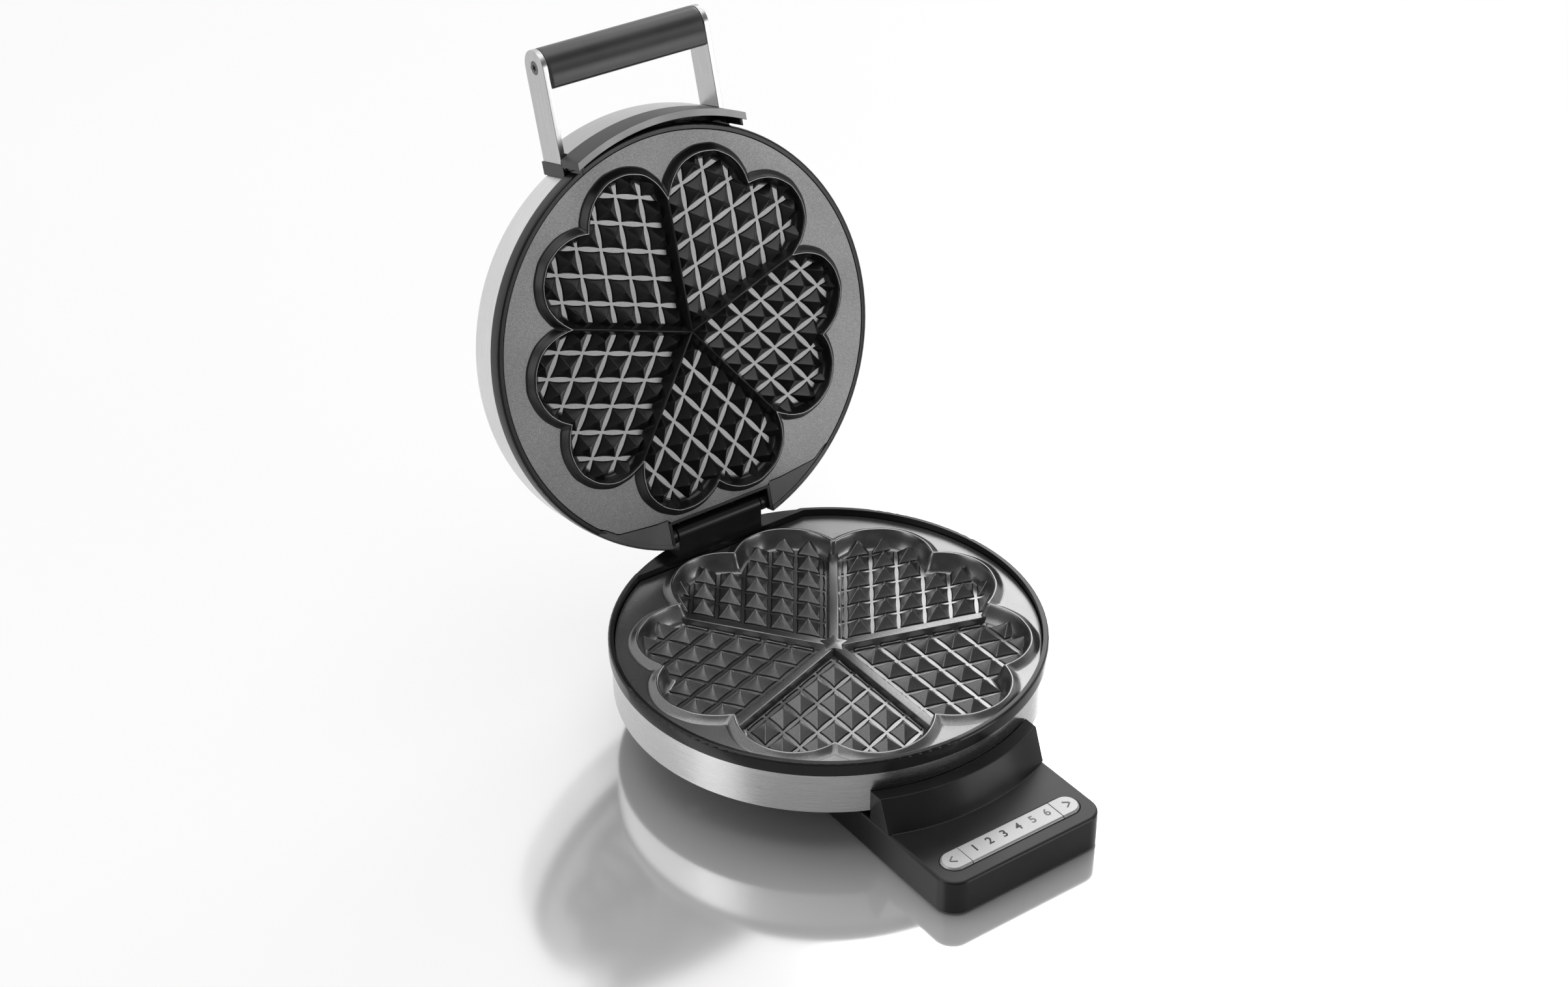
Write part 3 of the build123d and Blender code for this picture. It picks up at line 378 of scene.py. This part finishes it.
def half(pts, d):
    out = []
    for u, v in pts:
        n = math.hypot(u - C0[0], v - C0[1])
        out.append((u + (u - C0[0]) / n * d, v + (v - C0[1]) / n * d))

    def cut_end(seq, f):
        seq = list(seq)
        if f(seq[0]) > 0:
            while len(seq) > 2 and f(seq[1]) > 0:
                seq.pop(0)
        a, b = seq[0], seq[1]
        t = f(a) / (f(a) - f(b))
        seq[0] = (a[0] + (b[0] - a[0]) * t, a[1] + (b[1] - a[1]) * t)
        return seq
    out = cut_end(out, lambda p: -p[0])
    return cut_end(out[::-1], lambda p: p[0] * C36 - p[1] * S36)[::-1]


NH = 30


def ring(pts, d, z, bound=None, gap=0.0):
    """Closed rosette outline pushed out by d, at height z."""
    h = spline(half(pts, d), NH)
    out = []
    for k in range(5):
        a = math.radians(-54 + 72 * k)
        c, s = math.cos(a), math.sin(a)

        def pl(u, v):
            return (-s * u + c * v, c * u + s * v)
        seq = [pl(-p.x, p.y) for p in h[::-1]][:-1] + [pl(p.x, p.y) for p in h][:-1]
        out += seq
    res = []
    for x, y in out:
        if bound:
            r, lim = math.hypot(x, y), bound(math.atan2(y, x)) - gap
            if r > lim:
                x, y = x * lim / r, y * lim / r
        res.append((x, PY + y, z))
    return res


def radial(like, fn, z, gap=0.0):
    res = []
    for x, y, _ in like:
        a = math.atan2(y - PY, x)
        r = fn(a) - gap
        res.append((r * math.cos(a), PY + r * math.sin(a), z))
    return res


def bound_circle(R, lines):
    def f(a):
        c, s = math.cos(a), math.sin(a)
        t = -PY * s + math.sqrt(PY * PY * s * s - PY * PY + R * R)
        for (x0, y0), (x1, y1) in lines:
            # ray from (0, PY) along (c, s) against the segment
            dx, dy = x1 - x0, y1 - y0
            det = c * (-dy) - s * (-dx)
            if abs(det) < 1e-9:
                continue
            bx, by = x0, y0 - PY
            tt = (bx * (-dy) - by * (-dx)) / det
            q = (c * by - s * bx) / det
            if 0 <= q <= 1 and 0 < tt < t:
                t = tt
        return t
    return f


def loft(bm, rings, mats, cap_first=None, cap_last=None):
    vs = [[bm.verts.new(p) for p in r] for r in rings]
    n = len(rings[0])
    for i in range(len(rings) - 1):
        for j in range(n):
            f = bm.faces.new((vs[i][j], vs[i][(j + 1) % n], vs[i + 1][(j + 1) % n], vs[i + 1][j]))
            f.material_index = mats[i]
    if cap_first is not None:
        bm.faces.new(vs[0][::-1]).material_index = cap_first
    if cap_last is not None:
        bm.faces.new(vs[-1]).material_index = cap_last
    return vs


def outer_dist(pts, u, v):
    """Signed distance past the heart's edge, measured from its lobe centre."""
    u = abs(u)
    a = math.atan2(v - C0[1], u - C0[0])
    best = None
    tab = [(math.atan2(q - C0[1], p - C0[0]), math.hypot(p - C0[0], q - C0[1])) for p, q in pts]
    tab.sort()
    if a < tab[0][0]:
        # below the lobe's lowest point: straight side
        return -6.0 if v < 62 and u < 47 else math.hypot(u - C0[0], v - C0[1]) - tab[0][1]
    for (a0, r0), (a1, r1) in zip(tab, tab[1:]):
        if a0 <= a <= a1:
            best = r0 + (r1 - r0) * (a - a0) / (a1 - a0)
    if best is None:
        return -6.0 if v < tab[-1][1] + 60 else 5.0
    return math.hypot(u - C0[0], v - C0[1]) - best


LEVELS = (1.0, 0.86, 0.68, 0.5, 0.34, 0.2, 0.1, 0.04)


def inside(x, y, z, lim=109.5):
    """Keeps the buried corners of the outermost pyramids within the casting's wall."""
    k = min(1.0, lim / math.hypot(x, y))
    return (x * k, y * k, z)


def pyramid(bm, u0, v0, deg, zf, zt, bow=0.42, power=1.14, mat=1, clip=None, strip=STRIP):
    """One raised pyramid with soft ridges, slightly hollow faces and bowed base edges."""
    k = 1.0 - strip / (PITCH * math.sin(math.radians(72)))
    A, B = PITCH * S36 * k, PITCH * C36 * k
    cs = [(-A, 0), (0, -B), (A, 0), (0, B)]
    ang = math.radians(deg)
    ca, sa = math.cos(ang), math.sin(ang)
    rings = []
    for s in LEVELS:
        pts = []
        for i in range(4):
            p, q, o = cs[i], cs[(i + 1) % 4], cs[(i - 1) % 4]
            e = min(0.30 / 13.0, 0.3 * s) / max(s, 1e-6)
            e = min(e, 0.3)
            pts.append((p[0] + (o[0] - p[0]) * e, p[1] + (o[1] - p[1]) * e, 0))
            m = e * 0.62
            pts.append((p[0] + ((o[0] + q[0]) / 2 - p[0]) * m, p[1] + ((o[1] + q[1]) / 2 - p[1]) * m, 0))
            pts.append((p[0] + (q[0] - p[0]) * e, p[1] + (q[1] - p[1]) * e, 0))
            for t in (0.25, 0.5, 0.75):
                mx, my = (p[0] + q[0]) / 2, (p[1] + q[1]) / 2
                n = math.hypot(mx, my)
                d = bow * 4 * t * (1 - t)
                pts.append((p[0] + (q[0] - p[0]) * t - mx / n * d, p[1] + (q[1] - p[1]) * t - my / n * d, 1))
        z = zf + (zt - zf) * (1 - s) ** power
        r = []
        for x, y, _ in pts:
            u, v = u0 + x * s, v0 + y * s
            zz = z
            if clip:
                zz = clip(u, v, zz)
            r.append(inside(-sa * u + ca * v, PY + ca * u + sa * v, zz))
        rings.append(r)
    vs = loft(bm, rings, [mat] * (len(rings) - 1))
    tip = bm.verts.new(inside(-sa * u0 + ca * v0, PY + ca * u0 + sa * v0, clip(u0, v0, zt) if clip else zt))
    last = vs[-1]
    n = len(last)
    for j in range(n):
        bm.faces.new((last[j], last[(j + 1) % n], tip)).material_index = mat
    bm.faces.new(vs[0][::-1]).material_index = mat


def lattice(v0):
    w, hh = PITCH * C36, PITCH * S36
    for n in range(-7, 8):
        for m in range(-3, 10):
            if (n + m) % 2:
                continue
            u, v = n * hh, v0 + m * w
            yield u, v, v * S36 - abs(u) * C36


def bar(bm, deg, prof, r0, r1, mat):
    """A rib: profile (t, z) swept outward from the centre."""
    a = math.radians(deg)
    c, s = math.cos(a), math.sin(a)
    rows = []
    for r in (r0, r1):
        rows.append([bm.verts.new((r * c - t * s, PY + r * s + t * c, z)) for t, z in prof])
    n = len(prof)
    for j in range(n):
        bm.faces.new((rows[0][j], rows[0][(j + 1) % n], rows[1][(j + 1) % n], rows[1][j])).material_index = mat
    bm.faces.new(rows[0][::-1]).material_index = mat
    bm.faces.new(rows[1]).material_index = mat


def trimmed(bm, fill, cuts):
    """Adds what fill(bm2) builds, cut by planes (point, normal), to bm."""
    t = bmesh.new()
    fill(t)
    for co, no in cuts:
        g = t.verts[:] + t.edges[:] + t.faces[:]
        bmesh.ops.bisect_plane(t, geom=g, plane_co=co, plane_no=no, clear_outer=True, dist=1e-5)
        e = [x for x in t.edges if x.is_boundary]
        if e:
            bmesh.ops.holes_fill(t, edges=e, sides=0)
    me = bpy.data.meshes.new("tmp")
    t.to_mesh(me)
    t.free()
    bm.from_mesh(me)
    bpy.data.meshes.remove(me)


# ------------------------------------------------------------------ lower plate
def lower_plate():
    bm = bmesh.new()
    F = H - 10.93
    bd = bound_circle(R_PLATE, [((-130, PLATE_CHORD), (130, PLATE_CHORD))])
    back = F - 2.6

    def g(d, z, gap=0.0):
        return ring(LOW, d, H + z, bd, gap)
    base = g(0, 0)
    rings = [g(-3.0, -13.5, 3.0), g(2.4, -13.2, 2.0), g(2.4, -5.4, 2.0), radial(base, bd, H - 5.4), radial(base, bd, H - 3.35),
             radial(base, bd, H - 3.05, 0.3), g(5.6, -3.0, 1.1), g(4.6, -2.86, 0.9), g(3.2, -2.0, 0.75), g(1.9, -0.95, 0.6), g(1.15, -0.32, 0.5),
             g(0.85, -0.08, 0.45), g(0.55, 0.0, 0.4), g(0.2, -0.02), g(-0.12, -0.25), g(-0.4, -0.8), g(-0.95, -2.4), g(-1.5, -4.4), g(-2.1, -6.4),
             g(-2.8, -8.2), g(-3.6, -9.6), g(-4.6, -10.5), g(-5.8, -10.93)]
    # index 3 on the rim crest is the painted highlight
    mats = [1] * 4 + [0] * 2 + [1] * 5 + [3] * 3 + [1] * 8
    loft(bm, rings, mats, cap_first=1, cap_last=2)

    def clip(u, v, z):
        d = outer_dist(LOW, u, v)
        if d > -0.6:
            return min(z, H - 4.9)
        return z
    for u, v, d in lattice(22.95):
        if d > 12.5 and outer_dist(LOW, u * 0.93, v * 0.955) < -1.0 and v < 104 and outer_dist(LOW, u, v) < 4.0:
            for k in range(5):
                pyramid(bm, u, v, -54 + 72 * k, F, H - 4.44, clip=clip)
        elif -1.5 < d < 1.0 and u > 0 and 10 < math.hypot(u, v) < 92:
            # remains of the row that a rib covers, on both sides of it
            for k in range(5):
                deg = -54 + 72 * k
                for mir in (1, -1):
                    a = math.radians(deg + 36 * mir)
                    # outward side of the rib seen from this heart
                    nx, ny = (math.sin(a), -math.cos(a)) if mir > 0 else (-math.sin(a), math.cos(a))
                    co = (nx * 4.35, PY + ny * 4.35, F)
                    trimmed(bm, lambda t: pyramid(t, u * mir, v, deg, F, H - 4.44, clip=clip), [(co, (-nx, -ny, 0))])
    prof = [(-3.7, F - 0.3), (3.7, F - 0.3), (3.5, F + 0.25), (2.95, F + 1.7), (2.5, H - 7.45), (2.3, H - 7.2), (2.0, H - 7.12),
            (-2.0, H - 7.12), (-2.3, H - 7.2), (-2.5, H - 7.45), (-2.95, F + 1.7), (-3.5, F + 0.25)]
    for k in range(5):
        bar(bm, -18 + 72 * k, prof, 2.0, 85.2, 1)
    # star where the ribs meet
    rows = []
    for sc, z in ((1.0, F), (0.93, H - 7.3), (0.86, H - 6.75), (0.80, H - 6.6), (0.30, H - 6.35)):
        r = []
        for k in range(10):
            a = math.radians(-18 + 36 * k)
            q = (8.6 if k % 2 == 0 else 5.0) * sc
            r.append((q * math.cos(a), PY + q * math.sin(a), z))
        rows.append(r)
    loft(bm, rows, [1] * 4, cap_first=1, cap_last=1)
    return add_piece("waffle_plate_lower", bm, ["flange_low", "cavity_low", "floor_low", "edge_low"], "base", ("lower_plate",))


def upper_plate():
    bm = bmesh.new()
    F = H + 7.3
    rear = [(-130, 84), (-72, 84), (-64, 89.6), (-40, 92.2), (-33, 92.2), (-33, 94.2), (33, 94.2), (33, 92.2), (40, 92.2), (64, 89.6), (72, 84), (130, 84)]
    bd = bound_circle(R_PLATE, list(zip(rear, rear[1:])))

    def g(d, z, gap=0.0):
        return ring(UPP, d, H + z, bd, gap)
    base = g(0, 0)
    rings = [g(-3.0, 9.9), g(2.2, 9.7), g(2.2, 7.3), radial(base, bd, H + 7.3), radial(base, bd, H + 5.2), radial(base, bd, H + 4.93, 0.3),
             g(3.9, 4.9), g(3.3, 4.82), g(2.9, 4.5), g(2.0, 3.0), g(1.05, 1.35), g(0.62, 0.85), g(0.25, 0.64), g(0.08, 0.6), g(-0.1, 0.6),
             g(-0.3, 0.72), g(-0.75, 1.5), g(-1.25, 3.2), g(-1.9, 4.9), g(-2.7, 6.2), g(-3.6, 6.95), g(-4.8, 7.3)]
    # on the lid, index 4 on the rim's outer slope is painted shade, index 3 on the crest the painted highlight, index
    # 0 on the flange painted sheen and index 2 on the floor cap painted light
    mats = [1] * 4 + [0] * 2 + [4] * 6 + [3] * 2 + [1] * 7
    loft(bm, rings, mats, cap_first=1, cap_last=2)

    def clip(u, v, z):
        d = outer_dist(UPP, u, v)
        if d > -0.3:
            return max(z, F - 2.0)
        return z
    for u, v, d in lattice(10.2):
        if d > 4.0 and outer_dist(UPP, u * 0.93, v * 0.95) < -1.0 and v < 99 and outer_dist(UPP, u, v) < 4.0:
            for k in range(5):
                pyramid(bm, u, v, -54 + 72 * k, F, H + 1.9, bow=0.62, clip=clip, strip=1.55)
    prof = [(-3.4, F + 0.3), (3.4, F + 0.3), (3.1, F - 0.3), (1.7, H + 3.9), (0.55, H + 0.95), (0.28, H + 0.66), (0.0, H + 0.6),
            (-0.28, H + 0.66), (-0.55, H + 0.95), (-1.7, H + 3.9), (-3.1, F - 0.3)]
    for k in range(5):
        bar(bm, -18 + 72 * k, prof, -0.4, 73.5, 1)
    return add_piece("waffle_plate_upper", bm, ["flange_up", "cavity_up", "floor_up", "edge_up", "wall_up"], "lid", ("upper_plate",), lid=True)


lower_plate()
upper_plate()

# ------------------------------------------------------------------ mouldings and sheet parts
soften("base_pedestal", ["black"], "base", 0.4, 2, 40)
soften("base_bezel", ["black_gloss"], "base", 0, 0, 52)
# index 1 on the flat faces near the hinge is painted light, a grey copy of the black plastic
soften("lid_bezel", ["black_lid", "bezel_face"], "lid", 0, 0, 52,
       pick=lambda c, n: 1 if n.z < -0.9 and c.y > 86 and c.z < H + 6 else 0)
soften("lid_hinge_housing", ["black_lid"], "lid", 0.3, 2, 50)
soften("hinge_block", ["black"], "base", 0.35, 2, 50)
# index 1 on the mount's downward faces is painted light, a grey copy of the black plastic
soften("handle_mount", ["black_lid", "grained", "grained_dark"], "lid", 0.3, 2, 50,
       pick=lambda c, n: 1 if n.z < -0.9 and c.z < H - 5.3 else
       (2 if c.z < H + 11.8 and math.hypot(c.x, c.y) > 122.4 and abs(n.z) < 0.2 else 0))
soften("handle_arm_right", ["arm"], "lid", 0.3, 2, 50)
soften("handle_arm_left", ["arm"], "lid", 0.3, 2, 50)
soften("lid_cover", ["cover"], "lid", 0, 0, 30)
soften("crescent_trim", ["trim"], "lid", 0, 0, 30)
soften("base_band", ["band"], "base", 0, 0, 30)
soften("handle_screws", ["screw_dark"], "lid", 0.12, 2, 40)
for n, bd in (("button_left", "key_left"), ("button_right", "key_right")):
    soften(n, ["key", "key_mark"], bd, 0.12, 2, 30, pick=lambda c, n: 1 if c.z > Z_KEY + 0.06 else 0)


def grip():
    """Moulded grip: rounded outer side, softly squared inner side, eased ends."""
    ZC, R, YC, GY, X = H + 23.5, 9.35, -158.3, -147.2, 47.48
    prof = [(GY - 1.6, ZC + R), (GY - 0.75, ZC + R - 0.25), (GY - 0.2, ZC + R - 0.8), (GY, ZC + R - 1.7),
            (GY, ZC + 3.0), (GY, ZC - 4.0), (GY, ZC - R + 1.2), (GY - 0.25, ZC - R + 0.2), (GY - 0.9, ZC - R - 0.55), (GY - 2.0, ZC - R - 0.95),
            (GY - 6.0, ZC - R - 1.1), (GY - 8.5, ZC - R - 0.5)]
    for i in range(0, 19):
        a = math.radians(-92 - 176 * i / 18)
        prof.append((YC + R * math.cos(a), ZC + R * math.sin(a)))
    prof.append((YC + 4.5, ZC + R))
    cy, cz = sum(p[0] for p in prof) / len(prof), sum(p[1] for p in prof) / len(prof)
    bm = bmesh.new()
    rows = []
    for x, k in ((-X, 0.90), (-X + 0.12, 0.955), (-X + 0.5, 0.985), (-X + 1.2, 1.0), (-X + 2.0, 1.0), (-20, 1.0), (0, 1.0), (20, 1.0),
                 (X - 2.0, 1.0), (X - 1.2, 1.0), (X - 0.5, 0.985), (X - 0.12, 0.955), (X, 0.90)):
        rows.append([(x, cy + (y - cy) * k, cz + (z - cz) * k) for y, z in prof])
    loft(bm, rows, [0] * 12, cap_first=0, cap_last=0)
    return add_piece("grip_moulding", bm, ["grip"], "lid", ("handle_grip",), lid=True)


grip()
soften("number_strip", ["key"], "base", 0.25, 2, 30)

# ------------------------------------------------------------------ digits on the strip
for i, (t, x, key) in enumerate(zip("123456", (-21.8, -12.6, -3.5, 5.5, 14.6, 23.7),
                                    ("digit_dark", "digit_dark", "digit_dark", "digit_mid", "digit_pale", "digit_pale"))):
    cu = bpy.data.curves.new("digit_" + t, "FONT")
    cu.body = t
    cu.size = 0.0070
    cu.extrude = 0.00004
    cu.offset = 0.00012
    cu.align_x, cu.align_y = "CENTER", "CENTER"
    tmp = bpy.data.objects.new("tmp_digit", cu)
    bpy.context.scene.collection.objects.link(tmp)
    bpy.context.view_layer.update()
    me = bpy.data.meshes.new_from_object(tmp)
    bpy.data.objects.remove(tmp)
    me.transform(Matrix.Translation((x * MM, (STRIP_YC + 0.6) * MM, Z_KEY * MM + 0.00001)))
    me.materials.clear()
    me.materials.append(M[key])
    o = bpy.data.objects.new("number_mark_" + t, me)
    bpy.context.scene.collection.objects.link(o)
    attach(o, "base")

# ------------------------------------------------------------------ the rest keeps its CAD shape
for n, k in {"bottom_cover": "black", "rubber_feet": "rubber", "cable_gland": "rubber", "cover_screws": "screw",
             "hinge_block_screws": "screw", "lower_plate_screws": "screw", "lower_spacers": "screw", "hinge_pin": "screw",
             "upper_plate_screws": "screw_lid", "lid_studs": "screw_lid", "upper_spacers": "screw_lid", "mount_screws": "screw_lid",
             "foot_screws": "screw_lid", "lower_heater": "heater", "upper_heater": "heater", "lower_reflector": "reflector",
             "upper_reflector": "reflector", "control_board": "board", "power_board": "board", "power_parts": "component",
             "base_tub": "black", "pedestal_screws": "screw", "tact_switches": "component", "terminal_block": "component", "temperature_sensor": "component",
             "lower_thermal_fuse": "component", "upper_thermal_fuse": "component", "status_leds": "led", "light_guide": "led"}.items():
    if n in NODES:
        paint(n, k)
missed = set(NODES) - DONE
if missed:
    raise SystemExit("no material for %s" % sorted(missed))

# ------------------------------------------------------------------ stage
bm = bmesh.new()
bmesh.ops.create_grid(bm, x_segments=24, y_segments=24, size=6.0)
me = bpy.data.meshes.new("floor")
bm.to_mesh(me)
bm.free()
floor = bpy.data.objects.new("floor", me)
bpy.context.scene.collection.objects.link(floor)
m, nt, b = new_mat("pale_floor")
v = coords(nt)
nt.links.new(ramp(nt, noise(nt, v, 2.0, 2.0), [(0.3, 0.93), (0.7, 0.94)]), b.inputs["Base Color"])
b.inputs["Roughness"].default_value = 0.11
b.inputs["Metallic"].default_value = 0.6
me.materials.append(m)


def area(name, loc, target, size, power, size_y=None, color=(1, 1, 1)):
    l = bpy.data.lights.new(name, "AREA")
    l.shape = "RECTANGLE"
    l.size, l.size_y = size, size_y or size
    l.energy = power
    l.color = color
    o = bpy.data.objects.new(name, l)
    o.location = loc
    o.rotation_euler = (Vector(target) - Vector(loc)).to_track_quat("-Z", "Y").to_euler()
    bpy.context.scene.collection.objects.link(o)
    return o


area("top", (0.1, 0.1, 2.4), (0, 0, 0.1), 2.4, 22)
area("back_right", (1.9, 1.35, 1.55), (0.05, 0, 0.06), 1.3, 16)
area("left", (-2.3, 0.2, 1.0), (0, 0, 0.15), 1.0, 8, 1.6)
area("front_right", (1.5, -2.1, 0.6), (0, 0.05, 0.2), 1.2, 12, 0.9)

# an even white sky behind the object and a darker room on the near side
w = bpy.data.worlds.new("studio")
bpy.context.scene.world = w
w.use_nodes = True
wt = w.node_tree
tc = wt.nodes.new("ShaderNodeTexCoord")
sx = wt.nodes.new("ShaderNodeSeparateXYZ")
wt.links.new(tc.outputs["Generated"], sx.inputs[0])
d = math_node(wt, "ADD", math_node(wt, "MULTIPLY", sx.outputs[0], 0.12), math_node(wt, "MULTIPLY", sx.outputs[1], 0.9))
wt.links.new(ramp(wt, maprange(wt, d, 0.0, 1.0, -0.7, 0.7), [(0.0, 0.14), (0.33, 0.26), (0.58, 0.95), (1.0, 1.0)]), wt.nodes["Background"].inputs[0])
wt.nodes["Background"].inputs[1].default_value = 1.0

# ------------------------------------------------------------------ camera
cam = bpy.data.cameras.new("camera")
co = bpy.data.objects.new("camera", cam)
bpy.context.scene.collection.objects.link(co)
R = ((0.81508449, -0.57927365, -0.00890566), (0.3205938, 0.43819075, 0.83976692), (-0.48255247, -0.68733609, 0.54287403))
P = (-0.668999, -0.914034, 0.872824)
co.matrix_world = Matrix(((R[0][0], R[1][0], R[2][0], P[0]), (R[0][1], R[1][1], R[2][1], P[1]), (R[0][2], R[1][2], R[2][2], P[2]), (0, 0, 0, 1)))
cam.lens, cam.sensor_width, cam.sensor_fit = 61.28, 36.0, "HORIZONTAL"
cam.clip_start, cam.clip_end = 0.05, 50.0
bpy.context.scene.camera = co
bpy.context.scene.view_settings.view_transform = "Standard"

bpy.context.view_layer.update()
